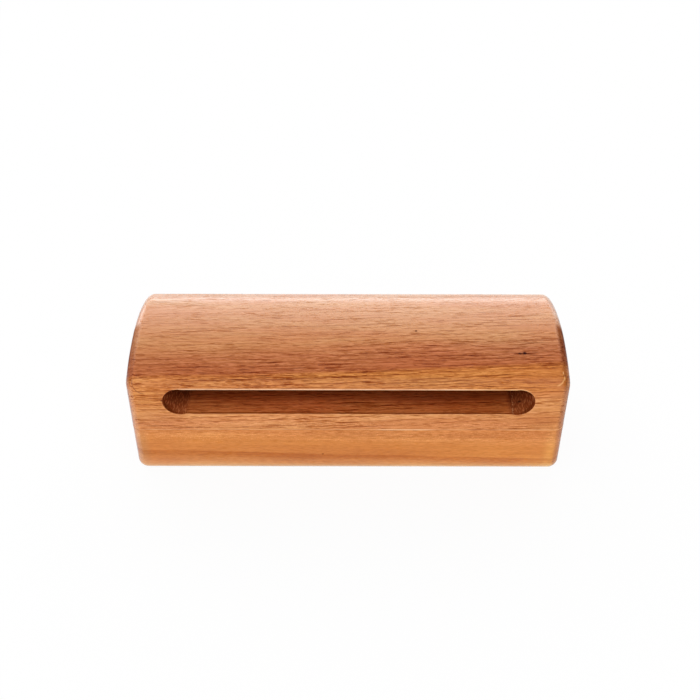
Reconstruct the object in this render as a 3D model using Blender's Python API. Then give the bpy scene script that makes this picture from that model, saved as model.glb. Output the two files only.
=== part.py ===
# Concert wood block: two hardwood boards glued together, arched on top, with one long
# sound slot routed into the front of the upper board.
# X runs along the block, the slot opens towards -Y, and the block stands on z = 0.
import math

import bmesh
import bpy

# Sizes of the block, in metres
BLOCK_LENGTH = 0.190
BLOCK_DEPTH = 0.0665
LOWER_BOARD_THICKNESS = 0.0254
UPPER_BOARD_THICKNESS = 0.0338   # at the crown, in the middle of the depth
ARCH_RISE = 0.0082               # from the arch's foot at front and back up to the crown
SHOULDER_RADIUS = 0.0064         # roundover where the arch meets the front and the back
EDGE_RADIUS = 0.0048             # roundover round both ends and along the bottom

# Sizes of the glue joint
GLUE_THICKNESS = 0.0002
GLUE_CLEARANCE = 0.00005         # kept between the glue film and each board

# Sizes of the sound slot: a channel routed between two flat-bottomed drilled holes
SLOT_LENGTH = 0.1596             # from tip to tip of the drilled ends
SLOT_HEIGHT = 0.0132
SLOT_DEPTH = 0.052
SLOT_FLOOR_WALL = 0.0094         # wood left under the slot, down to the glue joint
HOLE_OVERSIZE = 0.0003           # the drilled ends stand this far proud of the channel
LIP_CHAMFER = 0.0004             # broken edge round the slot's mouth

# Facets of the curves
ARCH_STEPS = 40
SHOULDER_STEPS = 10
CORNER_STEPS = 7
END_STEPS = 7
HOLE_STEPS = 30

# Smallest radius that a corner keeps once the roundover of the ends has cut into it
LEAST_RADIUS = 0.0004
# How far a cutter runs past the wood it cuts
CUTTER_MARGIN = 0.002

JOINT_GAP = GLUE_THICKNESS + 2 * GLUE_CLEARANCE
JOINT_TOP = LOWER_BOARD_THICKNESS + JOINT_GAP
CROWN_HEIGHT = JOINT_TOP + UPPER_BOARD_THICKNESS
ARCH_RADIUS = ((BLOCK_DEPTH / 2) ** 2 + ARCH_RISE ** 2) / (2 * ARCH_RISE)
ARCH_CENTRE = CROWN_HEIGHT - ARCH_RADIUS
SLOT_CENTRE = JOINT_TOP + SLOT_FLOOR_WALL + SLOT_HEIGHT / 2

# Colour, roughness and metallic value of each finish
FINISHES = {
    "upper_wood": ((0.56, 0.25, 0.105, 1.0), 0.38, 0.0),
    "lower_wood": ((0.64, 0.26, 0.085, 1.0), 0.38, 0.0),
    "cured_glue": ((0.34, 0.15, 0.06, 1.0), 0.5, 0.0),
}


def clear_scene():
    for old in list(bpy.data.objects):
        bpy.data.objects.remove(old, do_unlink=True)


def make_material(name):
    color, roughness, metallic = FINISHES[name]
    material = bpy.data.materials.new(name)
    material.use_nodes = True
    shader = material.node_tree.nodes["Principled BSDF"]
    shader.inputs["Base Color"].default_value = color
    shader.inputs["Roughness"].default_value = roughness
    shader.inputs["Metallic"].default_value = metallic
    material.diffuse_color = color
    return material


def arc(centre, radius, start, end, steps):
    """Points from one angle to another round a centre, both ends included."""
    angles = [start + (end - start) * step / steps for step in range(steps + 1)]
    return [(centre[0] + radius * math.cos(a), centre[1] + radius * math.sin(a)) for a in angles]


def block_section(inset):
    """The block's outline across its length, drawn in by inset, as (y, z) points."""
    half_depth = BLOCK_DEPTH / 2 - inset
    arch_radius = ARCH_RADIUS - inset
    corner = max(EDGE_RADIUS - inset, LEAST_RADIUS)
    shoulder = max(SHOULDER_RADIUS - inset, LEAST_RADIUS)
    # The shoulder's centre lies one radius inside the upright side and inside the arch
    side = half_depth - shoulder
    rise = math.sqrt((arch_radius - shoulder) ** 2 - side ** 2)
    seat = ARCH_CENTRE + rise
    turn = math.atan2(rise, side)
    bottom = inset + corner

    back_corner = arc((half_depth - corner, bottom), corner, -math.pi / 2, 0, CORNER_STEPS)
    back_shoulder = arc((side, seat), shoulder, 0, turn, SHOULDER_STEPS)
    arch = arc((0, ARCH_CENTRE), arch_radius, turn, math.pi - turn, ARCH_STEPS)[1:-1]
    front_shoulder = arc((-side, seat), shoulder, math.pi - turn, math.pi, SHOULDER_STEPS)
    front_corner = arc((corner - half_depth, bottom), corner, math.pi, 1.5 * math.pi, CORNER_STEPS)
    return back_corner + back_shoulder + arch + front_shoulder + front_corner


def slot_section(outset):
    """The slot's outline, grown by outset, as (x, z) points."""
    half_height = SLOT_HEIGHT / 2 + outset
    radius = SLOT_HEIGHT / 2 + HOLE_OVERSIZE + outset
    centre = SLOT_LENGTH / 2 - SLOT_HEIGHT / 2 - HOLE_OVERSIZE
    # Each drilled end turns back inwards until it meets the channel's floor and roof
    reach = math.pi - math.asin(half_height / radius)
    right = arc((centre, SLOT_CENTRE), radius, -reach, reach, HOLE_STEPS)
    left = [(-x, 2 * SLOT_CENTRE - z) for x, z in right]
    return right + left


def loft(name, sections):
    """A closed body through a list of sections that all have as many points."""
    shape = bmesh.new()
    rings = [[shape.verts.new(point) for point in section] for section in sections]
    for ring, following in zip(rings, rings[1:]):
        for index in range(len(ring)):
            beside = (index + 1) % len(ring)
            shape.faces.new((ring[index], ring[beside], following[beside], following[index]))
    shape.faces.new(rings[0])
    shape.faces.new(rings[-1])
    bmesh.ops.recalc_face_normals(shape, faces=shape.faces)
    return finish_mesh(name, shape)


def finish_mesh(name, shape):
    mesh = bpy.data.meshes.new(name)
    shape.to_mesh(mesh)
    shape.free()
    mesh.shade_smooth()
    mesh.set_sharp_from_angle(angle=math.radians(35))
    return mesh


def add_object(name, mesh, material=None):
    piece = bpy.data.objects.new(name, mesh)
    bpy.context.scene.collection.objects.link(piece)
    if material:
        mesh.materials.append(material)
    return piece


def add_cutter(name, mesh):
    cutter = add_object(name, mesh)
    cutter.hide_render = True
    cutter.display_type = "WIRE"
    return cutter


def block_form(name):
    """The whole machined block: its section drawn in round both ends by their roundover."""
    rings = []
    for step in range(END_STEPS + 1):
        turn = math.pi / 2 * step / END_STEPS
        inset = EDGE_RADIUS * (1 - math.sin(turn))
        reach = BLOCK_LENGTH / 2 - EDGE_RADIUS * (1 - math.cos(turn))
        rings.append((reach, inset))
    left_end = [(-reach, inset) for reach, inset in rings]
    stations = left_end + list(reversed(rings))
    sections = [[(x, y, z) for y, z in block_section(inset)] for x, inset in stations]
    return loft(name, sections)


def slab(name, bottom, top):
    """A plate larger than the block, between two heights."""
    shape = bmesh.new()
    bmesh.ops.create_cube(shape, size=1.0)
    width = (BLOCK_LENGTH + 2 * CUTTER_MARGIN, BLOCK_DEPTH + 2 * CUTTER_MARGIN, top - bottom)
    bmesh.ops.scale(shape, vec=width, verts=shape.verts)
    bmesh.ops.translate(shape, vec=(0, 0, (top + bottom) / 2), verts=shape.verts)
    return add_cutter(name, finish_mesh(name, shape))


def slot_cutter():
    """The slot's tools in one body, flared at 45 degrees through the front for the lips."""
    front = -BLOCK_DEPTH / 2
    stations = [
        (front - CUTTER_MARGIN, LIP_CHAMFER + CUTTER_MARGIN),
        (front + LIP_CHAMFER, 0.0),
        (front + SLOT_DEPTH, 0.0),
    ]
    sections = [[(x, y, z) for x, z in slot_section(outset)] for y, outset in stations]
    return add_cutter("slot_cutter", loft("slot_cutter", sections))


def add_boolean(piece, operation, cutter):
    step = piece.modifiers.new(cutter.name, "BOOLEAN")
    step.operation = operation
    step.object = cutter
    step.solver = "EXACT"


def layer(name, finish, bottom, top):
    """One layer of the glued block: the machined form kept between two heights."""
    piece = add_object(name, block_form(name), make_material(finish))
    add_boolean(piece, "INTERSECT", slab(name + "_slab", bottom, top))
    return piece


def build():
    clear_scene()
    above = CROWN_HEIGHT + CUTTER_MARGIN
    layer("lower_board", "lower_wood", -CUTTER_MARGIN, LOWER_BOARD_THICKNESS)
    glue_bottom = LOWER_BOARD_THICKNESS + GLUE_CLEARANCE
    layer("glue_line", "cured_glue", glue_bottom, glue_bottom + GLUE_THICKNESS)
    upper_board = layer("upper_board", "upper_wood", JOINT_TOP, above)
    add_boolean(upper_board, "DIFFERENCE", slot_cutter())


build()
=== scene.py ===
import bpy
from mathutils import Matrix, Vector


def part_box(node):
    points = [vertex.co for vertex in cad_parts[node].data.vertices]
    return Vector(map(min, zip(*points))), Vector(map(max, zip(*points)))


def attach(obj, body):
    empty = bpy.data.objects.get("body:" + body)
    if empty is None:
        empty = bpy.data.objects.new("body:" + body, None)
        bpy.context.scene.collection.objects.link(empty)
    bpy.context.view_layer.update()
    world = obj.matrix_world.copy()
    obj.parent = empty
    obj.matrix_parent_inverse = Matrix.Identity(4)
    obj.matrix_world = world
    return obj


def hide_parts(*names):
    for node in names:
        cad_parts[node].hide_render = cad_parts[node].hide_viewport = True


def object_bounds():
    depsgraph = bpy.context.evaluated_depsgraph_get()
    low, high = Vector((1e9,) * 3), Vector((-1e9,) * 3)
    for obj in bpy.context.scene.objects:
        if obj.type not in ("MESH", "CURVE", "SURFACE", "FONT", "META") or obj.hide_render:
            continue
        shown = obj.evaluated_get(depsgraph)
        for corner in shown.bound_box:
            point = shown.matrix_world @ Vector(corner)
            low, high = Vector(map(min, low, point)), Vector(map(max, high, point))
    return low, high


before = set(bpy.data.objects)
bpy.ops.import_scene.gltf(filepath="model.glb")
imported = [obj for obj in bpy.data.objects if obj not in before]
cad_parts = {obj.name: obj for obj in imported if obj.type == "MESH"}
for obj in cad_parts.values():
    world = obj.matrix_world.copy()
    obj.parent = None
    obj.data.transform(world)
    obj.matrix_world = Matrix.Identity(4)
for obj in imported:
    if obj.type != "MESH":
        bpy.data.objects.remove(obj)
cadBox = [list(corner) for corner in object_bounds()]

# Concert wood block: the finish of its two glued boards, its routed sound slot and a pale studio.
import math

import bmesh
import bpy
from mathutils import Euler, Matrix, Vector, noise

millimetre = 0.001           # in metres, the unit of the meshes
nowhere = (0.0, 0.0, 0.0)    # what a vector socket holds until it is given a value

# The block's own sizes come from the frame, and its curves from the values below, in metres
lowest, highest = Vector(cadBox[0]), Vector(cadBox[1])
blockLength = highest.x - lowest.x
blockDepth = highest.y - lowest.y
crownHeight = highest.z
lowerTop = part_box("lower_board")[1].z
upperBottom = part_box("upper_board")[0].z

blockShape = {
    "archRise": 0.0082,         # from the arch's foot up to the crown
    "shoulderRadius": 0.0064,   # where the arch meets the front and the back
    "edgeRadius": 0.0048,       # both ends and the bottom
    "leastRadius": 0.0003,      # kept where an end's roundover cuts into a corner
    "seamArris": 0.0001,        # the boards' edges at the joint, eased by sanding
    "sharpAngle": 32,           # in degrees: flatter edges between faces are shaded smooth
    "archSteps": 72,
    "shoulderSteps": 20,
    "cornerSteps": 12,
    "arrisSteps": 3,
    "endSteps": 14,
    "sideRows": 7,
    "lengthRows": 84,
}

slotShape = {
    "length": 0.1596,        # tip to tip
    "height": 0.01338,       # of the routed channel
    "depth": 0.052,
    "floor": 0.0094,         # wood between the slot and the joint
    "shift": 0.0003,         # it was routed a hair to the right of the middle
    "holeOversize": 0.0003,  # the drilled ends stand proud of the channel
    "holeDrop": 0.00015,     # and sit a little low
    "lipRadius": 0.0002,
    "lipStart": 8,           # where the lip's curve starts, in degrees off the front
    "lacquerDepth": 0.8,     # share of the lip that lacquer ran over
    "lacquerHeight": 0.35,   # and how far above the slot's middle, as a share of its height
    "passDepth": 0.008,      # where the router's first pass ended
    "passStep": 0.00008,
    "passRun": 0.0001,       # depth over which that step is made
    "runOut": 0.002,         # the cutter stands this far out of the front
    "holeSteps": 48,
    "lipSteps": 6,
}

archRadius = ((blockDepth / 2) ** 2 + blockShape["archRise"] ** 2) / (2 * blockShape["archRise"])
archCentre = crownHeight - archRadius
slotMiddle = upperBottom + slotShape["floor"] + slotShape["height"] / 2


# Meshes

def arc(centre, radius, start, end, steps):
    angles = [start + (end - start) * step / steps for step in range(steps + 1)]
    return [(centre[0] + radius * math.cos(a), centre[1] + radius * math.sin(a)) for a in angles]


def climb(y, low, high, rows):
    return [(y, low + (high - low) * row / rows) for row in range(1, rows)]


def onFront(back):
    # The back's points again on the front, in the order that carries the outline on
    return [(-y, z) for y, z in reversed(back)]


def lengthStations():
    # (x, inset) of each section: a quarter round at both ends and even rows between them
    radius = blockShape["edgeRadius"]
    steps = blockShape["endSteps"]
    end = []
    for step in range(steps + 1):
        turn = math.pi / 2 * step / steps
        end.append((blockLength / 2 - radius * (1 - math.cos(turn)), radius * (1 - math.sin(turn))))
    straight = blockLength / 2 - radius
    rows = blockShape["lengthRows"]
    middle = [(straight - 2 * straight * row / rows, 0.0) for row in range(1, rows)]
    return end + middle + [(-x, inset) for x, inset in reversed(end)]


def loft(name, sections):
    shape = bmesh.new()
    rings = [[shape.verts.new(point) for point in section] for section in sections]
    for ring, following in zip(rings, rings[1:]):
        for index in range(len(ring)):
            beside = (index + 1) % len(ring)
            shape.faces.new((ring[index], ring[beside], following[beside], following[index]))
    shape.faces.new(rings[0])
    shape.faces.new(rings[-1])
    bmesh.ops.recalc_face_normals(shape, faces=shape.faces)
    mesh = bpy.data.meshes.new(name)
    shape.to_mesh(mesh)
    shape.free()
    return mesh


def layerMesh(name, section):
    # One layer of the block, from a function that gives its outline at each inset
    stations = lengthStations()
    return loft(name, [[(x, y, z) for y, z in section(inset)] for x, inset in stations])


handSanding = {
    "depth": 0.00007,        # how far the work wanders under the true surface
    "waves": (28, 75),       # long waves per metre, along the block and across it
    "fineWaves": (90, 160),
    "fineShift": 7,          # so that the two sets of waves don't match
    "fineShare": 0.25,
    "jointMargin": 0.003,    # it fades this near the joint
    "baseMargin": 0.004,     # and this near the base
    "frontMargin": 0.0015,   # depth of the upper board's front, round the slot,
    "frontShare": 0.25,      # where this share of it is left
}


def waveAt(place, waves, shift=0):
    along, across = waves
    return noise.noise(Vector((place.x * along + shift, place.y * across, place.z * across)))


def sandByHand(mesh):
    # Long shallow waves, always inwards, that fade near the joint, the slot's mouth and the base
    work = handSanding
    fineShare = work["fineShare"]
    normals = [vertex.normal.copy() for vertex in mesh.vertices]
    for vertex, normal in zip(mesh.vertices, normals):
        place = vertex.co
        wave = 0.5 + 0.5 * waveAt(place, work["waves"])
        fine = 0.5 + 0.5 * waveAt(place, work["fineWaves"], work["fineShift"])
        amount = wave * (1 - fineShare) + fine * fineShare
        jointFade = min(1.0, abs(place.z - lowerTop) / work["jointMargin"])
        baseFade = min(1.0, place.z / work["baseMargin"])
        onUpperFront = place.y < lowest.y + work["frontMargin"] and place.z > upperBottom
        frontFade = work["frontShare"] if onUpperFront else 1.0
        vertex.co = place - normal * work["depth"] * amount * jointFade * frontFade * baseFade


def addPiece(name, mesh, *materials):
    piece = bpy.data.objects.new(name, mesh)
    bpy.context.scene.collection.objects.link(piece)
    for material in materials:
        mesh.materials.append(material)
    return piece


def smoothPiece(piece):
    piece.data.shade_smooth()
    piece.data.set_sharp_from_angle(angle=math.radians(blockShape["sharpAngle"]))
    weighting = piece.modifiers.new("faceWeight", "WEIGHTED_NORMAL")
    weighting.keep_sharp = True
    weighting.weight = 80


# Node helpers

def fillInputs(tree, node, inputs):
    # A socket is linked, a plain value is set, and None leaves the input alone
    for socket, value in inputs.items():
        if isinstance(value, bpy.types.NodeSocket):
            tree.links.new(value, node.inputs[socket])
        elif value is not None:
            node.inputs[socket].default_value = value
    return node


def addNode(tree, kind, inputs=None, **settings):
    node = tree.nodes.new("ShaderNode" + kind)
    for name, value in settings.items():
        setattr(node, name, value)
    return fillInputs(tree, node, inputs or {})


def calc(tree, operation, a, b=None, c=None, clamp=False):
    inputs = {0: a, 1: b, 2: c}
    return addNode(tree, "Math", inputs, operation=operation, use_clamp=clamp).outputs[0]


def times(tree, value, *factors):
    for factor in factors:
        value = calc(tree, "MULTIPLY", value, factor)
    return value


def vectorCalc(tree, operation, a, b=None):
    node = addNode(tree, "VectorMath", {0: a, 1: b}, operation=operation)
    return node.outputs["Value" if operation == "LENGTH" else "Vector"]


def split(tree, vector):
    return addNode(tree, "SeparateXYZ", {0: vector}).outputs


def joined(tree, x, y, z):
    return addNode(tree, "CombineXYZ", {0: x, 1: y, 2: z}).outputs[0]


def ramp(tree, value, low, high, outLow=0.0, outHigh=1.0):
    # Smooth step from outLow to outHigh as the value goes from low to high
    inputs = {"Value": value, "From Min": low, "From Max": high, "To Min": outLow, "To Max": outHigh}
    return addNode(tree, "MapRange", inputs, interpolation_type="SMOOTHSTEP").outputs["Result"]


def fade(tree, value, full, gone):
    return ramp(tree, value, full, gone, 1.0, 0.0)


def pulse(tree, value, start, full, fading, gone):
    # Nothing up to start, one from full to fading, and nothing again from gone on
    return times(tree, ramp(tree, value, start, full), fade(tree, value, fading, gone))


def blendColor(tree, share, under, over, mode="MIX"):
    inputs = {0: share, 6: under, 7: over}
    return addNode(tree, "Mix", inputs, data_type="RGBA", blend_type=mode).outputs[2]


def tinted(tree, color, share, tint):
    # Multiplies red, green and blue by the tint where share is one
    return blendColor(tree, share, color, (*tint, 1.0), "MULTIPLY")


def noiseValue(tree, vector, detail, rough=0.5):
    inputs = {"Vector": vector, "Scale": 1.0, "Detail": detail, "Roughness": rough}
    return addNode(tree, "TexNoise", inputs).outputs["Fac"]


def stretched(tree, vector, along, across):
    # One unit of the result is along millimetres with the grain and across millimetres over it
    return vectorCalc(tree, "DIVIDE", vector, joined(tree, along, across, across))


def startGroup(name, inputs, outputs):
    # inputs and outputs are {name: default}: a number makes a value socket, a triple a vector
    group = bpy.data.node_groups.new(name, "ShaderNodeTree")
    for side, sockets in (("INPUT", inputs), ("OUTPUT", outputs)):
        for socketName, default in sockets.items():
            kind = "NodeSocketVector" if isinstance(default, tuple) else "NodeSocketFloat"
            socket = group.interface.new_socket(name=socketName, in_out=side, socket_type=kind)
            if side == "INPUT":
                socket.default_value = default
    given = group.nodes.new("NodeGroupInput").outputs
    made = group.nodes.new("NodeGroupOutput").inputs
    return group, given, made


def useGroup(tree, name, inputs):
    node = tree.nodes.new("ShaderNodeGroup")
    node.node_tree = effects[name]
    node.label = name
    return fillInputs(tree, node, inputs).outputs


def startMaterial(name):
    material = bpy.data.materials.new(name)
    material.use_nodes = True
    tree = material.node_tree
    return material, tree, tree.nodes["Principled BSDF"]


def seen(red, green, blue):
    # A colour as read off a screen, 0 to 255, made linear for the shader
    def linear(value):
        value /= 255
        return value / 12.92 if value <= 0.04045 else ((value + 0.055) / 1.055) ** 2.4
    return (linear(red), linear(green), linear(blue), 1.0)


# Effects shared by the materials. Their lengths are in millimetres.

def makeGrainSpace():
    # Millimetres, with the fibres swaying slowly along the board
    group, given, made = startGroup(
        "grainSpace",
        {"Position": nowhere, "Sway": 1.5, "Ripple": 0.25, "Offset": nowhere},
        {"Grain": nowhere, "Place": nowhere},
    )
    scaled = vectorCalc(group, "MULTIPLY", given["Position"], (1 / millimetre,) * 3)
    group.links.new(scaled, made["Place"])
    place = vectorCalc(group, "ADD", scaled, given["Offset"])
    total = place
    spread = 3.0     # the noise keeps near its middle, so its swing is widened
    for along, across, amount in ((120.0, 34.0, given["Sway"]), (17.0, 5.0, given["Ripple"])):
        inputs = {"Vector": stretched(group, place, along, across), "Scale": 1.0, "Detail": 1.0}
        field = addNode(group, "TexNoise", inputs).outputs["Color"]
        centred = vectorCalc(group, "SUBTRACT", field, (0.5, 0.5, 0.5))
        swing = times(group, amount, spread)
        push = joined(group, 0.0, swing, swing)
        total = vectorCalc(group, "ADD", total, vectorCalc(group, "MULTIPLY", centred, push))
    group.links.new(total, made["Grain"])
    return group


def makeGrowthRings():
    # Distance from the pith, and the soft and hard wood of each year's growth
    group, given, made = startGroup(
        "growthRings",
        {"Grain": nowhere, "Pith Y": 0.0, "Pith Z": 0.0, "Slant": 0.0, "Spacing": 3.0},
        {"Radius": 0.0, "Latewood": 0.0, "Line": 0.0},
    )
    parts = split(group, given["Grain"])
    across = calc(group, "SUBTRACT", parts[1], given["Pith Y"])
    upward = calc(group, "SUBTRACT", parts[2], given["Pith Z"])
    reach = vectorCalc(group, "LENGTH", joined(group, 0.0, across, upward))
    radius = calc(group, "ADD", reach, times(group, parts[0], given["Slant"]))
    group.links.new(radius, made["Radius"])
    # Years differ in width, so the radius is bent by a slow noise before it is counted
    bendPeriod = 7.0
    bendReach = 5.0
    slow = noiseValue(group, joined(group, calc(group, "DIVIDE", radius, bendPeriod), 0.0, 0.0), 1.0)
    bent = calc(group, "ADD", radius, times(group, slow, bendReach))
    year = calc(group, "FRACT", calc(group, "DIVIDE", bent, given["Spacing"]))
    group.links.new(pulse(group, year, 0.25, 0.86, 0.9, 1.0), made["Latewood"])
    # A thin dark line closes each year, and breaks off along the board
    edge = pulse(group, year, 0.72, 0.86, 0.88, 0.99)
    patch = noiseValue(group, stretched(group, given["Grain"], 26.0, 1.6), 1.0)
    group.links.new(times(group, edge, ramp(group, patch, 0.42, 0.62)), made["Line"])
    return group


def makeWoodPores():
    # Open vessels: dashes on a long face, dots on end grain
    group, given, made = startGroup(
        "woodPores",
        {"Grain": nowhere, "Length": 12.0, "Width": 0.8, "Fill": 0.25, "Clump": 0.5},
        {"Mask": 0.0},
    )
    space = stretched(group, given["Grain"], given["Length"], given["Width"])
    cells = addNode(group, "TexVoronoi", {"Vector": space, "Scale": 1.0}, feature="F1")
    # Clumps thin the vessels out here and crowd them there
    patch = noiseValue(group, stretched(group, given["Grain"], 30.0, 3.5), 2.0)
    change = times(group, calc(group, "SUBTRACT", patch, 0.5), given["Clump"])
    size = times(group, given["Fill"], calc(group, "MULTIPLY_ADD", change, 3.0, 1.0))
    edge = calc(group, "SUBTRACT", size, cells.outputs["Distance"])
    group.links.new(ramp(group, edge, -0.015, 0.04), made["Mask"])
    return group


def makeFibres():
    # Streaks along the grain, from minus one where they are dark to a little over nothing
    group, given, made = startGroup(
        "fibres",
        {"Grain": nowhere, "Length": 40.0, "Width": 0.6},
        {"Streak": 0.0},
    )
    space = stretched(group, given["Grain"], given["Length"], given["Width"])
    field = noiseValue(group, space, 3.0, rough=0.6)
    group.links.new(ramp(group, field, 0.28, 0.68, -1.0, 0.45), made["Streak"])
    return group


def makeWoodMark():
    # One small mark with a soft edge: a pin knot, a torn fibre or a stain drawn out along the grain
    group, given, made = startGroup(
        "woodMark",
        {"Place": nowhere, "Centre": nowhere, "Reach": (1.0, 1.0, 1.0), "Soft": 0.5},
        {"Mask": 0.0},
    )
    away = vectorCalc(group, "SUBTRACT", given["Place"], given["Centre"])
    share = vectorCalc(group, "LENGTH", vectorCalc(group, "DIVIDE", away, given["Reach"]))
    edge = calc(group, "SUBTRACT", 1.0, given["Soft"])
    group.links.new(fade(group, share, edge, 1.0), made["Mask"])
    return group


def makeArcMark():
    # A fine curved line, drawn round a centre between two angles in degrees
    group, given, made = startGroup(
        "arcMark",
        {"Place": nowhere, "Centre": nowhere, "Radius": 5.0, "Width": 0.5, "Start": 0.0, "End": 90.0},
        {"Mask": 0.0},
    )
    taper = 14.0     # degrees over which the line thins out at both its ends
    away = split(group, vectorCalc(group, "SUBTRACT", given["Place"], given["Centre"]))
    distance = vectorCalc(group, "LENGTH", joined(group, away[0], 0.0, away[2]))
    off = calc(group, "ABSOLUTE", calc(group, "SUBTRACT", distance, given["Radius"]))
    line = fade(group, calc(group, "DIVIDE", off, given["Width"]), 0.3, 1.0)
    angle = calc(group, "DEGREES", calc(group, "ARCTAN2", away[2], away[0]))
    begun = ramp(group, calc(group, "SUBTRACT", angle, given["Start"]), 0.0, taper)
    ended = ramp(group, calc(group, "SUBTRACT", given["End"], angle), 0.0, taper)
    near = fade(group, calc(group, "ABSOLUTE", away[1]), 6.0, 9.0)
    kept = times(group, begun, ended, near)
    group.links.new(times(group, line, kept), made["Mask"])
    return group


def makeEdgeWear():
    # Where a face turns over an edge: sanded through and catching a painted sheen, thick with
    # lacquer, or darkened by painted shade on the arch's ends
    group, given, made = startGroup(
        "edgeWear",
        {"Normal": (0.0, 0.0, 1.0), "Grain": nowhere, "Place": nowhere},
        {"Rub And Sheen": 0.0, "End Grain And Shade": 0.0, "Build Up": 0.0, "End Shade": 0.0},
    )
    facing = split(group, given["Normal"])
    spot = split(group, given["Place"])
    alongX = calc(group, "ABSOLUTE", facing[0])
    down = calc(group, "MAXIMUM", times(group, facing[2], -1.0), 0.0)
    # Rubbed where a face is halfway round an edge of an end or of the base; the paler colour there
    # also paints the sheen these roundovers catch
    cross = calc(group, "SQRT", calc(group, "SUBTRACT", 1.0, times(group, alongX, alongX)))
    turnEnd = times(group, alongX, cross, 2.0)
    turnBase = times(group, down, calc(group, "ABSOLUTE", facing[1]), 2.0)
    turn = calc(group, "MAXIMUM", turnEnd, turnBase)
    patch = noiseValue(group, stretched(group, given["Grain"], 7.0, 3.0), 3.0)
    broken = times(group, turn, ramp(group, patch, 0.3, 0.7, 0.35, 1.0))
    group.links.new(ramp(group, broken, 0.75, 1.0), made["Rub And Sheen"])
    # End grain, and painted shade that darkens the start of the right front corner, which the light
    # reaches least
    corner = ramp(group, spot[1], -20.0, -27.0)
    rightCornerShade = times(group, ramp(group, facing[0], 0.15, 0.5, 0.0, 0.55), corner)
    endGrainAndShade = calc(group, "MAXIMUM", ramp(group, alongX, 0.5, 0.98), rightCornerShade)
    group.links.new(endGrainAndShade, made["End Grain And Shade"])
    # Lacquer gathers over the left end, the base, the back and the right end, there least in front
    rightBack = ramp(group, spot[1], -2.0, 6.0, 0.3, 1.0)
    over = ramp(group, facing[0], -0.1, -0.5)
    for gathered in (
        times(group, ramp(group, facing[0], 0.1, 0.5), rightBack),
        ramp(group, down, 0.05, 0.4),
        ramp(group, facing[1], 0.18, 0.38),
        ramp(group, spot[2], 12.0, 2.0, 0.0, 0.8),
    ):
        over = calc(group, "MAXIMUM", over, gathered)
    group.links.new(over, made["Build Up"])
    # Painted shade on the front half of the arch's end roundovers, a little lower at the left, with a
    # ragged edge
    band = times(group, ramp(group, alongX, 0.08, 0.5), ramp(group, alongX, 0.93, 1.0, 1.0, 0.35))
    level = calc(group, "MULTIPLY_ADD", spot[0], -0.018, spot[2])
    front = times(group, fade(group, spot[1], -4.0, 1.0), ramp(group, level, 50.0, 56.0))
    flecks = noiseValue(group, stretched(group, given["Place"], 1.4, 2.2), 2.0)
    ragged = ramp(group, flecks, 0.3, 0.6, 0.75, 1.0)
    group.links.new(times(group, band, front, ragged), made["End Shade"])
    return group


def makeSlotLip():
    # Bands along the slot's upper and lower lip, and the walls of its two drilled ends
    group, given, made = startGroup(
        "slotLip",
        {"Place": nowhere, "Grain": nowhere, "Shift": 0.0, "Centre": 40.0,
         "Front": -33.0, "Half Run": 70.0, "Radius": 6.6},
        {"Upper": 0.0, "Lower": 0.0, "Ends": 0.0, "Torn": 0.0},
    )
    parts = split(group, given["Place"])
    aside = calc(group, "SUBTRACT", parts[0], given["Shift"])
    past = calc(group, "SUBTRACT", calc(group, "ABSOLUTE", aside), given["Half Run"])
    beyond = calc(group, "MAXIMUM", past, 0.0)
    above = calc(group, "SUBTRACT", parts[2], given["Centre"])
    behind = calc(group, "SUBTRACT", parts[1], given["Front"])
    reach = vectorCalc(group, "LENGTH", joined(group, beyond, 0.0, above))
    away = calc(group, "SUBTRACT", reach, given["Radius"])
    # The band reaches further in at the two drilled ends than along the channel
    inFront = fade(group, calc(group, "MULTIPLY_ADD", beyond, -0.35, behind), 0.4, 1.0)
    patch = noiseValue(group, stretched(group, given["Grain"], 9.0, 2.0), 3.0)
    broken = times(group, ramp(group, patch, 0.25, 0.6, 0.55, 1.0), inFront)
    band = times(group, fade(group, away, 0.25, 0.8), broken)
    # A painted highlight runs along the upper lip's straight and fades round both ends
    side = calc(group, "SIGN", aside)
    onRight = ramp(group, side, -0.5, 0.5)
    onLeft = fade(group, side, -0.5, 0.5)
    toRight = fade(group, times(group, past, side), 0.5, 6.0)
    toLeft = fade(group, times(group, past, times(group, side, -1.0)), -5.5, 4.0)
    leftKept = calc(group, "MAXIMUM", toLeft, onRight)
    rightKept = calc(group, "MAXIMUM", toRight, onLeft)
    kept = times(group, leftKept, rightKept)
    group.links.new(times(group, band, kept, ramp(group, above, 0.0, 4.5)), made["Upper"])
    group.links.new(times(group, band, ramp(group, above, 3.0, -4.0)), made["Lower"])
    group.links.new(ramp(group, past, -4.6, -1.8), made["Ends"])
    # Where the router ran into the right-hand hole it left a row of torn fibres
    leaning = calc(group, "MULTIPLY_ADD", behind, -0.09, past)
    row = pulse(group, leaning, -2.6, -2.3, -2.0, -1.7)
    tufts = noiseValue(group, stretched(group, given["Place"], 0.5, 0.9), 1.0)
    group.links.new(times(group, row, ramp(group, tufts, 0.45, 0.58), onRight), made["Torn"])
    return group


effects = {
    "grainSpace": makeGrainSpace(),
    "growthRings": makeGrowthRings(),
    "woodPores": makeWoodPores(),
    "fibres": makeFibres(),
    "woodMark": makeWoodMark(),
    "arcMark": makeArcMark(),
    "edgeWear": makeEdgeWear(),
    "slotLip": makeSlotLip(),
}
print("effects ready:", ", ".join(effects))


# Wood under lacquer

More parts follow.
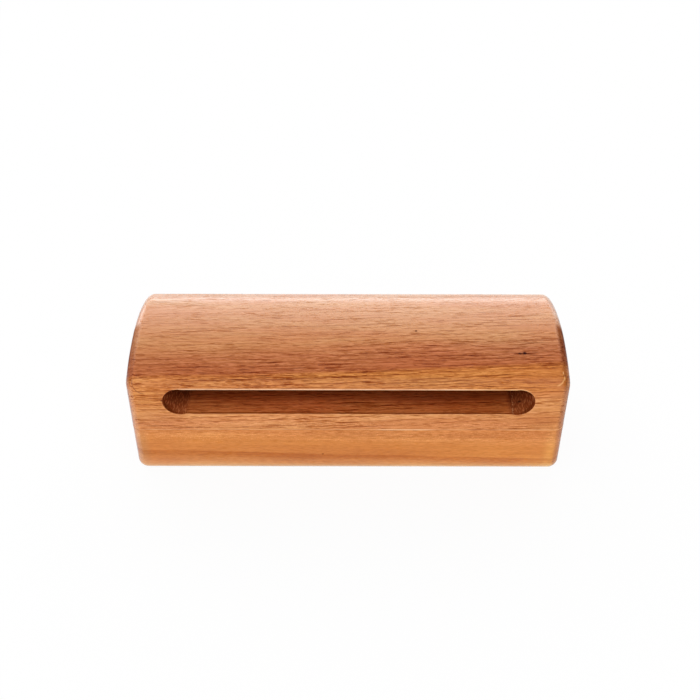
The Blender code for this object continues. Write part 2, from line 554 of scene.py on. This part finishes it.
woodWork = {
    "driftSize": (50.0, 9.0),          # broad changes of tone, along and across the grain
    "driftRange": (0.36, 0.66),
    "streakGain": (0.65, 1.0, 1.7),    # how strongly a streak changes red, green and blue
    "endShadeRun": (-30.0, 30.0),          # from the left end's painted shade to the right one's
    "strokeStretch": (1.0, 0.12, 0.3),
    "strokes": {"Length": 0.38, "Width": 0.38, "Fill": 0.42, "Clump": 0.4},
    "holeShare": 0.8,                  # how far the drilled walls' colours cover the wood
    "chipSoft": 0.7,
    "chipShare": 0.9,
    "nibs": {"Length": 0.9, "Width": 0.8, "Fill": 0.32, "Clump": 0.3},
    "nibEdges": (4, 2),                # how the band of nibs fades, below and above
    "slotShadeRun": (3.0, 18.0),           # how far into the slot the painted shade deepens
    "cloudSize": (14.0, 9.0),          # duller and shinier patches of the lacquer
    "cloudHeight": 0.4,
    "poreDullness": 0.15,
    "endShadeDullness": 0.35,
    "bumpDepth": 0.00012,              # in metres
    "lineSink": 0.7,                   # how far a ring line draws the coat in
    "sunkCoat": 0.12,                  # share of the coat left over a vessel
    "coatRoughness": 0.14,
    "coatIor": 1.7,
    "specular": 0.05,                  # of the wood under the coat
}


def zoneRamp(tree, radius, zones, part):
    # zones is [(distance from the pith in millimetres, colour, contrast of the figure), ...]
    first, last = zones[0][0], zones[-1][0]
    inputs = {"Value": radius, "From Min": first, "From Max": last}
    share = addNode(tree, "MapRange", inputs).outputs["Result"]
    node = addNode(tree, "ValToRGB", {0: share})
    stops = node.color_ramp.elements
    while len(stops) < len(zones):
        stops.new(0.5)
    for stop, (distance, color, contrast) in zip(stops, zones):
        stop.position = (distance - first) / (last - first)
        stop.color = color if part == "color" else (contrast, contrast, contrast, 1.0)
    return node.outputs["Color"]


def markMask(tree, place, centre, reach, soft):
    inputs = {"Place": place, "Centre": centre, "Reach": reach, "Soft": soft}
    return useGroup(tree, "woodMark", inputs)["Mask"]


def woodFigure(tree, look, grain, sides):
    # Zones of colour round the pith, then tone, streaks and the growth of each year
    rings = useGroup(tree, "growthRings", {
        "Grain": grain, "Pith Y": look["pith"][0], "Pith Z": look["pith"][1],
        "Slant": look["slant"], "Spacing": look["ringSpacing"],
    })
    color = zoneRamp(tree, rings["Radius"], look["zones"], "color")
    # The figure is calmer towards both ends
    calm = ramp(tree, calc(tree, "ABSOLUTE", sides[0]), *look["calm"])
    contrast = times(tree, zoneRamp(tree, rings["Radius"], look["zones"], "contrast"), calm)

    # Broad drift of tone, then streaks of several widths
    drift = noiseValue(tree, stretched(tree, grain, *woodWork["driftSize"]), 3.0)
    color = tinted(tree, color, ramp(tree, drift, *woodWork["driftRange"]), look["driftTint"])
    for length, width, depth in look["streaks"]:
        inputs = {"Grain": grain, "Length": length, "Width": width}
        swing = times(tree, useGroup(tree, "fibres", inputs)["Streak"], contrast, depth)
        gains = [calc(tree, "MULTIPLY_ADD", swing, share, 1.0) for share in woodWork["streakGain"]]
        color = blendColor(tree, 1.0, color, joined(tree, *gains), "MULTIPLY")
    late = times(tree, rings["Latewood"], look["latewood"], contrast)
    color = tinted(tree, color, late, look["lateTint"])
    line = times(tree, rings["Line"], look["ringLine"], contrast)
    color = tinted(tree, color, line, look["lineTint"])
    return color, contrast, line


def woodVessels(tree, look, color, grain, place, contrast):
    # Open vessels of several sizes, then knots, fine lines and stains, which sink in as they do
    sunk = None
    for length, width, fill, strength in look["pores"]:
        mask = useGroup(tree, "woodPores", {
            "Grain": grain, "Length": length, "Width": width, "Fill": fill, "Clump": look["clump"],
        })["Mask"]
        color = tinted(tree, color, times(tree, mask, strength, contrast), look["poreTint"])
        sunk = mask if sunk is None else calc(tree, "MAXIMUM", sunk, mask)
    for centre, reach, soft, strength in look["marks"]:
        shade = times(tree, markMask(tree, place, centre, reach, soft), strength)
        color = tinted(tree, color, shade, look["markTint"])
        sunk = calc(tree, "MAXIMUM", sunk, shade)
    return color, sunk


def woodEdges(tree, look, color, wear, sides):
    # End grain with painted shade at the right front corner, rubbed edges with a painted sheen, and
    # painted shade on the arch's ends
    endGrainAndShadeShare = times(tree, wear["End Grain And Shade"], look["endGrainAndShade"])
    color = tinted(tree, color, endGrainAndShadeShare, look["endGrainAndShadeTint"])
    color = blendColor(tree, times(tree, wear["Rub And Sheen"], look["rubAndSheen"]), color, look["rubAndSheenColor"])
    if look["endShade"]:
        share = ramp(tree, sides[0], *woodWork["endShadeRun"], *look["endShade"])
        color = tinted(tree, color, times(tree, wear["End Shade"], share), look["endShadeTint"])
    return color


def woodSlot(tree, look, color, grain, place):
    # The slot's lips, which carry a painted highlight on the lacquered front, and torn end grain on
    # its two drilled walls
    lip = useGroup(tree, "slotLip", {
        "Place": place, "Grain": grain, "Shift": slotShape["shift"] / millimetre,
        "Centre": slotMiddle / millimetre, "Front": lowest.y / millimetre,
        "Half Run": (slotShape["length"] - slotShape["height"]) / 2 / millimetre,
        "Radius": slotShape["height"] / 2 / millimetre,
    })
    if look["drilled"]:
        # Fine strokes in the direction of the bit
        ground, strokeColor, tornColor = look["drilled"]
        space = vectorCalc(tree, "MULTIPLY", place, woodWork["strokeStretch"])
        strokes = useGroup(tree, "woodPores", {"Grain": space, **woodWork["strokes"]})["Mask"]
        walls = blendColor(tree, strokes, ground, strokeColor)
        color = blendColor(tree, times(tree, lip["Ends"], woodWork["holeShare"]), color, walls)
        color = blendColor(tree, times(tree, lip["Torn"], woodWork["holeShare"]), color, tornColor)
    for band, share, lipColor in look["lips"]:
        color = blendColor(tree, times(tree, lip[band], share), color, lipColor)
    return color


def woodBlemishes(tree, look, color, place, sides):
    # Chips, fine curved lines, soft patches of tone and of painted light, nibs in the lacquer, and
    # painted shade deeper in the slot
    for centre, reach in look["chips"]:
        chip = markMask(tree, place, centre, reach, woodWork["chipSoft"])
        color = blendColor(tree, times(tree, chip, woodWork["chipShare"]), color, look["chipColor"])
    for centre, radius, width, start, end, arcColor, share in look["arcs"]:
        curve = useGroup(tree, "arcMark", {
            "Place": place, "Centre": centre, "Radius": radius, "Width": width,
            "Start": start, "End": end,
        })["Mask"]
        color = blendColor(tree, times(tree, curve, share), color, arcColor)
    for centre, reach, tint in look["patches"]:
        color = tinted(tree, color, markMask(tree, place, centre, reach, 1.0), tint)
    if look["nibs"]:
        # Fine nibs stand in the lacquer along the joint
        low, high = look["nibs"]
        below, above = woodWork["nibEdges"]
        nibs = useGroup(tree, "woodPores", {"Grain": place, **woodWork["nibs"]})["Mask"]
        band = pulse(tree, sides[2], low, low + below, high - above, high)
        color = tinted(tree, color, times(tree, nibs, band), look["nibTint"])
    # Painted shade under the slot's roof, deepening into the slot, partly the darker wood of the
    # router's second pass
    if look["slotShadeTint"]:
        depth = calc(tree, "SUBTRACT", sides[1], lowest.y / millimetre)
        color = tinted(tree, color, ramp(tree, depth, *woodWork["slotShadeRun"]), look["slotShadeTint"])
    return color


def addLacquer(tree, shader, look, grain, wear, sunk, line):
    # Satin lacquer: a little duller in the vessels and over the painted shade on the arch's ends
    cloud = noiseValue(tree, stretched(tree, grain, *woodWork["cloudSize"]), 3.0)
    swing = calc(tree, "SUBTRACT", cloud, 0.5)
    gloss = calc(tree, "MULTIPLY_ADD", swing, look["glossDrift"], look["roughness"])
    gloss = calc(tree, "MULTIPLY_ADD", sunk, woodWork["poreDullness"], gloss)
    gloss = calc(tree, "MULTIPLY_ADD", wear["End Shade"], woodWork["endShadeDullness"], gloss, clamp=True)
    tree.links.new(gloss, shader.inputs["Roughness"])
    height = calc(tree, "MULTIPLY_ADD", sunk, -1.0, times(tree, cloud, woodWork["cloudHeight"]))
    inputs = {"Height": height, "Strength": look["bump"], "Distance": woodWork["bumpDepth"]}
    tree.links.new(addNode(tree, "Bump", inputs).outputs["Normal"], shader.inputs["Normal"])
    shader.inputs["Specular IOR Level"].default_value = woodWork["specular"]
    if look["coat"]:
        # Lacquer builds up over the edges, and has sunk into the vessels; it is thinner over the
        # painted shade on the arch's ends
        build = ramp(tree, wear["Build Up"], 0.0, 1.0, look["coat"], 1.0)
        drawnIn = calc(tree, "MAXIMUM", sunk, wear["End Shade"])
        drawnIn = calc(tree, "MAXIMUM", drawnIn, times(tree, line, woodWork["lineSink"]))
        coat = times(tree, build, ramp(tree, drawnIn, 0.0, 1.0, 1.0, woodWork["sunkCoat"]))
        tree.links.new(coat, shader.inputs["Coat Weight"])
    shader.inputs["Coat Roughness"].default_value = woodWork["coatRoughness"]
    shader.inputs["Coat IOR"].default_value = woodWork["coatIor"]


def woodMaterial(name, look):
    material, tree, shader = startMaterial(name)
    spot = addNode(tree, "TexCoord").outputs
    space = useGroup(tree, "grainSpace", {
        "Position": spot["Object"], "Sway": look["sway"], "Ripple": look["ripple"],
        "Offset": look["offset"],
    })
    grain, place = space["Grain"], space["Place"]
    wear = useGroup(tree, "edgeWear", {"Normal": spot["Normal"], "Grain": grain, "Place": place})
    sides = split(tree, place)
    color, contrast, line = woodFigure(tree, look, grain, sides)
    color, sunk = woodVessels(tree, look, color, grain, place, contrast)
    color = woodEdges(tree, look, color, wear, sides)
    if look["lips"]:
        color = woodSlot(tree, look, color, grain, place)
    color = woodBlemishes(tree, look, color, place, sides)
    tree.links.new(color, shader.inputs["Base Color"])
    addLacquer(tree, shader, look, grain, wear, sunk, line)
    return material


# Lower board

lowerLook = {
    "pith": (30.0, -260.0),
    "slant": 0.027,
    "ringSpacing": 6.4,
    "sway": 1.2,
    "ripple": 0.12,
    "offset": (37.0, 11.0, 5.0),
    "zones": [
        # The zones nearest the pith run along the foot: their paler colours are painted light bounced
        # up from the white floor
        (268, seen(238, 172, 104), 0.5),
        (273.5, seen(229, 158, 90), 0.6),
        (275.8, seen(219, 142, 72), 0.7),
        (277.8, seen(214, 135, 63), 0.8),
        (279, seen(203, 120, 46), 0.9),
        (280.9, seen(198, 113, 38), 0.8),
        (281.7, seen(216, 134, 60), 0.7),
        (288.5, seen(219, 138, 62), 0.7),
        (290.4, seen(229, 150, 76), 0.9),
        (291.8, seen(229, 150, 78), 1.1),
        (293.4, seen(217, 137, 69), 1.3),
        (312, seen(217, 138, 70), 1.2),
    ],
    "driftTint": (0.95, 0.9, 0.84),
    "streaks": [(90.0, 3.0, 0.1), (24.0, 0.8, 0.12), (3.2, 0.42, 0.28)],    # length, width, depth
    "latewood": 0.1,
    "lateTint": (0.84, 0.7, 0.56),
    "ringLine": 0.08,
    "lineTint": (0.66, 0.44, 0.2),
    "pores": [(4.0, 0.5, 0.22, 0.35)],    # length, width, fill, strength
    "clump": 0.6,
    "poreTint": (0.72, 0.52, 0.3),
    "marks": [((-11.2, -33.0, 10.7), (0.8, 0.55, 0.5), 0.7, 1.0)],    # centre, reach, soft, strength
    "markTint": (0.2, 0.08, 0.05),
    "patches": [
        # Paler along the right edge: a painted reflection on the roundover and the lower front beside
        # it
        ((90, -33, 10), (4.6, 8, 27), (1.15, 1.38, 1.62)),
        ((86, -33, 4), (13, 8, 7), (1.12, 1.28, 1.4)),
        ((62, -33, 8), (56, 8, 10), (1.07, 1.1, 1.02)),
        # Less orange along the left one: a painted pinkish reflection on the roundover
        ((-91.5, -33, 14), (5, 8, 18), (0.88, 1.02, 1.5)),
        # Paler along the foot: painted light bounced up from the white floor
        ((10, -33.2, 1.6), (300, 7, 4.4), (1.03, 1.4, 1.85)),
        ((34, -32, 3), (42, 9, 4.5), (1.06, 1.12, 1.16)),
        ((80, -33, 6), (14, 8, 4), (1.06, 1.09, 1.05)),
        # Browner at the left
        ((-82, -33, 5.5), (18, 8, 5.5), (0.9, 0.78, 0.7)),
        ((-79, -33, 21), (18, 8, 9), (0.94, 0.89, 0.86)),
    ],
    "nibs": (16.0, 25.5),
    "nibTint": (1.1, 1.22, 1.5),
    "calm": (70.0, 86.0, 1.0, 0.9),    # from 70 mm off the middle to 86 mm the contrast falls to 0.9
    # Darker end grain, which also carries painted shade at the right front corner
    "endGrainAndShade": 0.9,
    "endGrainAndShadeTint": (0.56, 0.42, 0.34),
    # Paler rubbed edges, partly wear and partly a painted sheen on the roundovers
    "rubAndSheen": 0.3,
    "rubAndSheenColor": seen(222, 156, 96),
    "endShade": None,
    "chips": [],
    "arcs": [],
    "lips": [],
    "slotShadeTint": None,
    "roughness": 0.4,
    "glossDrift": 0.14,
    "bump": 0.25,
    "coat": 0.38,
}


def lowerSection(inset):
    # Outline of the lower board as (y, z): rounded bottom edges, upright sides, eased arris
    shape = blockShape
    half = blockDepth / 2 - inset
    corner = max(shape["edgeRadius"] - inset, shape["leastRadius"])
    arris = shape["seamArris"]
    base = inset + corner
    top = lowerTop - arris
    backCorner = arc((half - corner, base), corner, -math.pi / 2, 0, shape["cornerSteps"])
    backSide = climb(half, base, top, shape["sideRows"])
    backArris = arc((half - arris, top), arris, 0, math.pi / 2, shape["arrisSteps"])
    back = backCorner + backSide + backArris
    return back + onFront(back)


def makeLowerBoard():
    mesh = layerMesh("lowerBoard", lowerSection)
    sandByHand(mesh)
    piece = addPiece("lowerBoard", mesh, woodMaterial("lowerWood", lowerLook))
    smoothPiece(piece)
    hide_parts("lower_board")
    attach(piece, "root")


# Upper board and its slot

upperLook = {
    "pith": (-120.0, -30.0),
    "slant": -0.036,
    "ringSpacing": 1.7,
    "sway": 1.1,
    "ripple": 0.3,
    "offset": (0.0, 0.0, 0.0),
    "zones": [
        (98, seen(223, 152, 89), 1.15),
        (104.8, seen(223, 152, 89), 1.15),
        (107.5, seen(231, 163, 102), 1.2),
        (111, seen(225, 155, 92), 1.2),
        (115, seen(215, 141, 71), 1.6),
        (124.4, seen(211, 135, 63), 1.7),
        (126.2, seen(191, 111, 62), 1.6),
        (133, seen(198, 122, 75), 1.5),
        # From here back over the arch the colours turn paler and less orange and the figure fades: a
        # painted sheen over the wood's own colour
        (140, seen(210, 145, 93), 0.95),
        (156, seen(210, 149, 100), 0.64),
        (176, seen(215, 158, 114), 0.42),
    ],
    "driftTint": (0.96, 0.84, 0.8),
    "streaks": [(60.0, 2.4, 0.08), (12.0, 0.7, 0.11), (5.0, 0.48, 0.26)],
    "latewood": 0.28,
    "lateTint": (0.8, 0.66, 0.56),
    "ringLine": 0.75,
    "lineTint": (0.5, 0.3, 0.12),
    "pores": [(24.0, 0.9, 0.2, 0.9), (9.0, 0.55, 0.23, 0.85), (3.6, 0.34, 0.28, 0.4)],
    "clump": 0.7,
    "poreTint": (0.52, 0.29, 0.1),
    "patches": [
        # Browner right of the slot
        ((94, -33, 36), (20, 12, 20), (0.94, 0.85, 0.71)),
        ((84, -33, 30), (18, 10, 9), (0.9, 0.82, 0.72)),
        # Paler left of it, and browner under that
        ((-88, -33, 46), (14, 12, 8), (1.12, 1.28, 1.45)),
        ((-88, -33, 35), (9, 12, 4), (0.95, 0.92, 0.88)),
        ((-82, -33, 30.5), (24, 10, 6.5), (0.88, 0.8, 0.76)),
        # Paler under the slot, and on the arch at the right
        ((-35, -33, 33), (38, 10, 5), (1.07, 1.12, 1.2)),
        ((70, -15, 58), (40, 12, 9), (1.01, 1.15, 1.26)),
        # Yellower over the slot at the right, and pale along the left shoulder
        ((70, -33, 50), (36, 8, 7), (0.95, 0.84, 0.58)),
        ((-80, -31.5, 53.2), (26, 5, 2.4), (1.2, 1.3, 1.45)),
        # Smaller ones towards both ends
        ((84, -31.5, 53), (22, 5, 3.4), (0.88, 0.78, 0.66)),
        ((90, -33, 45), (9, 8, 6), (0.9, 0.86, 0.8)),
        ((-88, -31.5, 51), (6, 6, 4), (1.14, 1.26, 1.6)),
        ((-80, -33, 27), (17, 8, 4.5), (0.94, 0.9, 0.8)),
        ((-79, -33, 34.2), (12, 8, 3.2), (0.93, 0.85, 0.8)),
        ((80, -33, 32.5), (14, 8, 5.5), (0.93, 0.85, 0.74)),
    ],
    "nibs": (24.5, 31.0),
    "nibTint": (1.1, 1.22, 1.45),
    "calm": (72.0, 90.0, 1.0, 0.72),
    "marks": [
        # Two knots at the right of the arch, and the stain round them
        ((75.9, -18.5, 57.1), (1.25, 1, 0.9), 0.7, 1),
        ((73.9, -18.8, 57), (1.1, 0.75, 0.7), 0.7, 0.85),
        ((75.5, -18.8, 57), (6, 1.6, 1.5), 0.95, 0.3),
        # Thin dark lines that run on from them
        ((69, -18, 57.2), (6, 0.34, 0.6), 0.9, 0.4),
        ((80.6, -18, 57.2), (2.9, 0.34, 0.6), 0.9, 0.5),
        ((84.4, -17.4, 57.4), (2.9, 0.34, 0.6), 0.9, 0.5),
        ((88.4, -16.7, 57.5), (3.2, 0.34, 0.6), 0.9, 0.45),
        ((80.5, -12.9, 58.3), (11, 0.3, 0.6), 0.9, 0.45),
        ((74, -14.8, 58), (9, 0.3, 0.6), 0.9, 0.45),
        # At the right front corner, then along the joint at the left
        ((92.8, -31.5, 50.5), (0.4, 6, 3.6), 0.8, 0.5),
        ((-84, -33.2, 27.7), (9, 0.9, 0.42), 0.9, 0.5),
        ((-70, -33.2, 27), (12, 0.9, 0.42), 0.9, 0.45),
        # Pin knots, a stain, and a nick at the slot's left tip
        ((29.7, -6, 59.2), (0.8, 0.7, 0.7), 0.7, 0.9),
        ((-84.5, 17.5, 57.3), (8, 0.9, 0.9), 0.9, 0.3),
        ((-79.7, -33.2, 42.3), (0.7, 0.9, 0.5), 0.4, 1),
        ((-92, -33.2, 32.4), (0.5, 0.5, 0.5), 0.7, 0.8),
    ],
    "markTint": (0.16, 0.07, 0.04),
    # Darker end grain, which also carries painted shade at the right front corner
    "endGrainAndShade": 0.9,
    "endGrainAndShadeTint": (0.52, 0.38, 0.3),
    # Paler rubbed edges, partly wear and partly a painted sheen on the roundovers
    "rubAndSheen": 0.3,
    "rubAndSheenColor": seen(216, 156, 108),
    "endShade": (0.6, 1.0),      # strength of the painted end shade at the left and the right end
    "endShadeTint": (0.42, 0.26, 0.12),
    "chips": [
        ((91.5, -27.9, 53.8), (0.35, 1.1, 0.7)),
        ((92, -30.3, 52.8), (0.5, 1.3, 1.2)),
    ],
    "chipColor": seen(238, 182, 122),
    "arcs": [    # centre, radius, width, first and last angle, colour, share
        # Lifted fibres at the right front corner
        ((87.5, -31, 55.5), 5.2, 0.42, -82, -24, seen(236, 178, 116), 0.7),
        # Ledge of the cutter at the left one
        ((-85.3, -31, 52.6), 6.6, 0.36, -180, -98, seen(140, 74, 34), 0.7),
    ],
    # Paler lines along both lips of the lacquered front: a painted highlight, strongest on the upper
    # lip
    "lips": [("Upper", 0.95, seen(250, 200, 158)), ("Lower", 0.3, seen(226, 160, 106))],
    "drilled": None,
    "slotShadeTint": None,
    "roughness": 0.4,
    "glossDrift": 0.16,
    "bump": 0.45,
    "coat": 0.38,
}

# Bare routed wood in the slot is redder, rougher and dull
slotLook = dict(
    upperLook,
    zones=[
        (98, seen(218, 131, 71), 1.05),
        (125, seen(214, 124, 68), 1.3),
        (176, seen(203, 115, 62), 1.05),
    ],
    marks=[],
    patches=[
        ((-18, -27, 35), (26, 14, 8), (1.14, 1.18, 1.3)),
        ((56, -27, 36), (26, 14, 10), (0.88, 0.8, 0.68)),
        ((36, -23.5, 35), (40, 4, 4), (0.8, 0.74, 0.78)),
        ((-74, -27, 41), (10, 14, 12), (1.14, 1.18, 1.24)),
    ],
    rubAndSheen=0.0,
    endShade=None,
    chips=[((74.9, -25.1, 35.2), (1.5, 1.0, 0.9))],
    chipColor=seen(80, 30, 12),
    arcs=[],
    nibs=None,
    lips=[("Lower", 0.8, seen(116, 48, 8))],
    drilled=(seen(148, 70, 32), seen(204, 122, 74), seen(226, 160, 112)),    # ground, strokes, tufts
    roughness=0.62,
    bump=0.8,
    coat=0.0,
    # Painted shade deeper into the slot, partly the darker wood of the router's second pass
    slotShadeTint=(0.54, 0.42, 0.34),
)


def upperSection(inset):
    # Outline of the upper board as (y, z): eased arris, upright sides, shoulders and the arch
    shape = blockShape
    half = blockDepth / 2 - inset
    radius = archRadius - inset
    shoulder = max(shape["shoulderRadius"] - inset, shape["leastRadius"])
    side = half - shoulder
    rise = math.sqrt((radius - shoulder) ** 2 - side ** 2)
    seat = archCentre + rise
    turn = math.atan2(rise, side)
    arris = shape["seamArris"]
    bottom = upperBottom + arris
    backArris = arc((half - arris, bottom), arris, -math.pi / 2, 0, shape["arrisSteps"])
    backSide = climb(half, bottom, seat, shape["sideRows"])
    backShoulder = arc((side, seat), shoulder, 0, turn, shape["shoulderSteps"])
    arch = arc((0, archCentre), radius, turn, math.pi - turn, shape["archSteps"])[1:-1]
    back = backArris + backSide + backShoulder
    return back + arch + onFront(back)


def slotSection(outset, narrower=0.0):
    # Outline of the slot as (x, z): a channel between two drilled holes
    shape = slotShape
    half = shape["height"] / 2 + outset - narrower
    radius = shape["height"] / 2 + shape["holeOversize"] + outset
    centre = shape["length"] / 2 - shape["height"] / 2 - shape["holeOversize"]
    low = -math.pi + math.asin(min((half - shape["holeDrop"]) / radius, 1.0))
    high = math.pi - math.asin(min((half + shape["holeDrop"]) / radius, 1.0))
    right = arc((centre, slotMiddle - shape["holeDrop"]), radius, low, high, shape["holeSteps"])
    left = [(-x, z) for x, z in reversed(right)]
    return [(x + shape["shift"], z) for x, z in right + left]


def slotTool():
    # The cutter's body, with a rounded flare for the lips: its first faces keep the board's lacquer
    shape = slotShape
    front = lowest.y
    lip = shape["lipRadius"]
    stations = [(front - shape["runOut"], lip, 0.0)]
    for step in range(shape["lipSteps"] + 1):
        degrees = shape["lipStart"] + (90 - shape["lipStart"]) * step / shape["lipSteps"]
        turn = math.radians(degrees)
        stations.append((front + lip * (1 - math.cos(turn)), lip * (1 - math.sin(turn)), 0.0))
    passEnd = front + shape["passDepth"]
    stations += [
        (passEnd, 0.0, 0.0),
        (passEnd + shape["passRun"], 0.0, shape["passStep"]),
        (front + shape["depth"], 0.0, shape["passStep"]),
    ]
    sections = []
    for y, outset, narrower in stations:
        sections.append([(x, y, z) for x, z in slotSection(outset, narrower)])
    mesh = loft("slotTool", sections)
    # Only the upper lip took lacquer
    lipEnd = front + lip * shape["lacquerDepth"]
    lipFoot = slotMiddle + shape["height"] * shape["lacquerHeight"]
    for face in mesh.polygons:
        lacquered = face.center.y < lipEnd and face.center.z > lipFoot
        face.material_index = 0 if lacquered else 1
    return mesh


def makeUpperBoard():
    lacquered = woodMaterial("upperWood", upperLook)
    routed = woodMaterial("slotWood", slotLook)
    mesh = layerMesh("upperBoard", upperSection)
    sandByHand(mesh)
    piece = addPiece("upperBoard", mesh, lacquered, routed)
    tool = addPiece("slotTool", slotTool(), lacquered, routed)
    cut = piece.modifiers.new("slot", "BOOLEAN")
    cut.operation = "DIFFERENCE"
    cut.solver = "EXACT"
    cut.object = tool
    bpy.context.view_layer.update()
    ready = piece.evaluated_get(bpy.context.evaluated_depsgraph_get())
    piece.data = bpy.data.meshes.new_from_object(ready)
    piece.modifiers.clear()
    bpy.data.objects.remove(tool, do_unlink=True)
    smoothPiece(piece)
    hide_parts("upper_board")
    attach(piece, "root")


# Glue line

glueFilm = {
    "recess": 0.00004,      # behind the boards' faces
    "soak": 0.00002,        # into the wood above and below
    "color": seen(206, 136, 80),
    "paler": seen(236, 172, 110),
    "beads": {"Length": 9.0, "Width": 2.0},
    "runs": [               # squeezed out: centre, reach, colour
        ((25.0, -33.0, 25.5), (15.0, 6.0, 4.0), seen(255, 214, 164)),
        ((84.0, -33.0, 25.5), (22.0, 8.0, 4.0), seen(234, 168, 108)),
    ],
    "runSoft": 0.5,
    "roughness": 0.42,
    "dullness": 0.2,        # added where the film is paler
}


def glueSection(inset):
    # The cured film fills the joint from wood to wood, a hair inside the faces
    half = blockDepth / 2 - inset - glueFilm["recess"]
    low = lowerTop - glueFilm["soak"]
    high = upperBottom + glueFilm["soak"]
    return [(half, low), (half, high), (-half, high), (-half, low)]


def makeGlueLine():
    material, tree, shader = startMaterial("curedGlue")
    spot = addNode(tree, "TexCoord").outputs
    space = useGroup(tree, "grainSpace", {"Position": spot["Object"]})
    beads = useGroup(tree, "fibres", {"Grain": space["Grain"], **glueFilm["beads"]})["Streak"]
    share = ramp(tree, beads, -0.6, 0.8)
    color = blendColor(tree, share, glueFilm["color"], glueFilm["paler"])
    for centre, reach, runColor in glueFilm["runs"]:
        run = markMask(tree, space["Place"], centre, reach, glueFilm["runSoft"])
        color = blendColor(tree, run, color, runColor)
    tree.links.new(color, shader.inputs["Base Color"])
    dull = calc(tree, "MULTIPLY_ADD", share, glueFilm["dullness"], glueFilm["roughness"])
    tree.links.new(dull, shader.inputs["Roughness"])
    piece = addPiece("glueLine", layerMesh("glueLine", glueSection), material)
    smoothPiece(piece)
    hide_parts("glue_line")
    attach(piece, "root")


# Studio

studio = {
    "lens": 54.0,
    "sensor": 36.0,
    "nearest": 0.01,      # what is nearer the camera isn't drawn
    "cameraPlace": (0.0008, -0.368, 0.3426),
    "pitch": 39.1,
    "roll": 0.1,
    "topLight": 0.62,     # radiance straight overhead, where white is one
    "frontLight": 1.45,
    "backLight": 2.7,
    "leftLight": 0.5,     # shares left at the two flagged sides
    "rightLight": 0.12,
    "leftFlag": (-0.6, -0.95),    # where each flag starts and is full, as X of the direction
    "rightFlag": (0.3, 0.85),
    "floorColor": (0.9, 0.9, 0.9, 1.0),
    "floorWhite": 0.94,
    "floorSize": 3.0,
    "floorRows": 8,
    "floorDrop": 0.0002,
}
white = (1.0, 1.0, 1.0, 1.0)


def makeCamera():
    camera = bpy.data.objects.new("camera", bpy.data.cameras.new("camera"))
    camera.data.lens = studio["lens"]
    camera.data.sensor_width = studio["sensor"]
    camera.data.clip_start = studio["nearest"]
    tilt = Euler((math.radians(90 - studio["pitch"]), 0, 0)).to_matrix()
    roll = Matrix.Rotation(math.radians(studio["roll"]), 3, "Z")
    camera.matrix_world = Matrix.Translation(studio["cameraPlace"]) @ (tilt @ roll).to_4x4()
    bpy.context.scene.collection.objects.link(camera)
    bpy.context.scene.camera = camera


def makeWorld():
    # A soft white room: bright behind, even in front, dimmer overhead and flagged at both sides
    world = bpy.data.worlds.new("studioRoom")
    world.use_nodes = True
    tree = world.node_tree
    tree.nodes.clear()
    parts = split(tree, addNode(tree, "TexCoord").outputs["Generated"])
    behind = times(tree, ramp(tree, parts[1], 0.0, 0.5), fade(tree, parts[2], 0.5, 0.95))
    before = ramp(tree, parts[1], 0.0, -0.5)
    top = studio["topLight"]
    light = calc(tree, "MULTIPLY_ADD", behind, studio["backLight"] - top, top)
    light = calc(tree, "MULTIPLY_ADD", before, studio["frontLight"] - top, light)
    leftFlag = ramp(tree, parts[0], *studio["leftFlag"], 1.0, studio["leftLight"])
    rightFlag = ramp(tree, parts[0], *studio["rightFlag"], 1.0, studio["rightLight"])
    light = times(tree, light, times(tree, leftFlag, rightFlag))
    room = addNode(tree, "Background", {"Color": white, "Strength": light}).outputs[0]
    plain = addNode(tree, "Background", {"Color": white, "Strength": 1.0}).outputs[0]
    looked = addNode(tree, "LightPath").outputs["Is Camera Ray"]
    both = addNode(tree, "MixShader", {0: looked, 1: room, 2: plain})
    addNode(tree, "OutputWorld", {0: both.outputs[0]})
    bpy.context.scene.world = world


def makeFloor():
    # A white sweep that shades the block from below and keeps the room's white for the camera
    material, tree, shader = startMaterial("whiteSweep")
    tree.nodes.remove(shader)
    matt = addNode(tree, "BsdfDiffuse", {"Color": studio["floorColor"]}).outputs[0]
    glow = addNode(tree, "Emission", {"Color": white, "Strength": 1.0}).outputs[0]
    rays = addNode(tree, "LightPath").outputs
    looked = calc(tree, "ADD", rays["Is Camera Ray"], rays["Is Glossy Ray"], clamp=True)
    share = times(tree, looked, studio["floorWhite"])
    both = addNode(tree, "MixShader", {0: share, 1: matt, 2: glow})
    tree.links.new(both.outputs[0], tree.nodes["Material Output"].inputs["Surface"])
    sweep = bmesh.new()
    rows = studio["floorRows"]
    bmesh.ops.create_grid(sweep, x_segments=rows, y_segments=rows, size=studio["floorSize"])
    mesh = bpy.data.meshes.new("studioFloor")
    sweep.to_mesh(mesh)
    sweep.free()
    floor = addPiece("studioFloor", mesh, material)
    floor.location.z = -studio["floorDrop"]


def makeStudio():
    makeCamera()
    makeWorld()
    makeFloor()
    bpy.context.scene.view_settings.view_transform = "Standard"


makeStudio()
print("studio ready")
makeLowerBoard()
print("lower board ready")
makeUpperBoard()
print("upper board ready")
makeGlueLine()
print("glue line ready")
